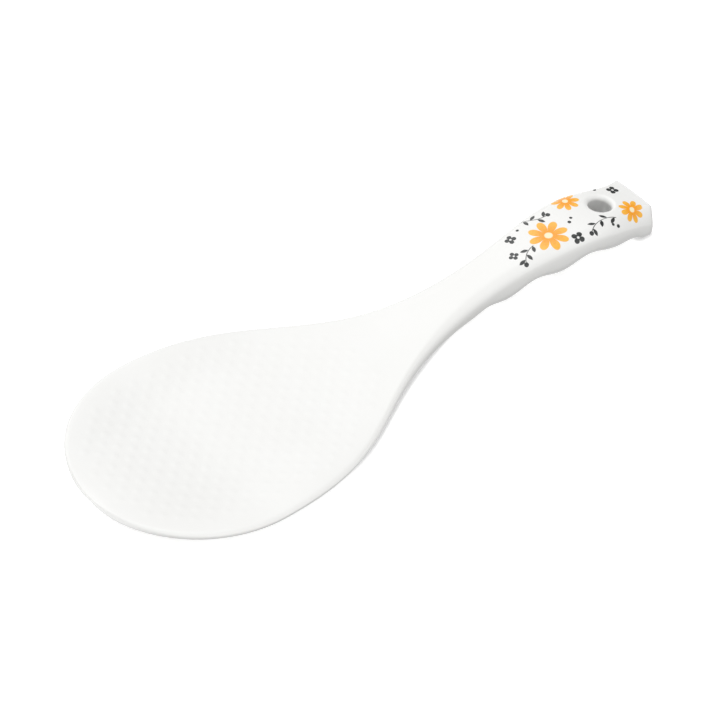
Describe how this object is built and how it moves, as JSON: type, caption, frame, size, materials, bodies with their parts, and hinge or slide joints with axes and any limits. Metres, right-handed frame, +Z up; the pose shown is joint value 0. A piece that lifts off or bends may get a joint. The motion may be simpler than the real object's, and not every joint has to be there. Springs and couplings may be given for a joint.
{
  "type": "rice paddle",
  "caption": "White moulded rice paddle with a shallow dished blade, low nubs against sticking, an arched handle with finger grooves, a hanging hole and a printed floral foil",
  "frame": {"origin": "Middle of the bounding box, on the surface that the paddle lies on", "axes": "+X from the tip of the blade to the end of the handle, +Y to the left of that, +Z up out of the top of the blade"},
  "size_m": [0.2, 0.0764, 0.0142],
  "materials": {
    "melamine_white": "gloss",
    "printed_foil": "gloss"
  },
  "bodies": {
    "root": {"paddle_moulding": "melamine_white", "decal_foil": "printed_foil"}
  },
  "joints": []
}
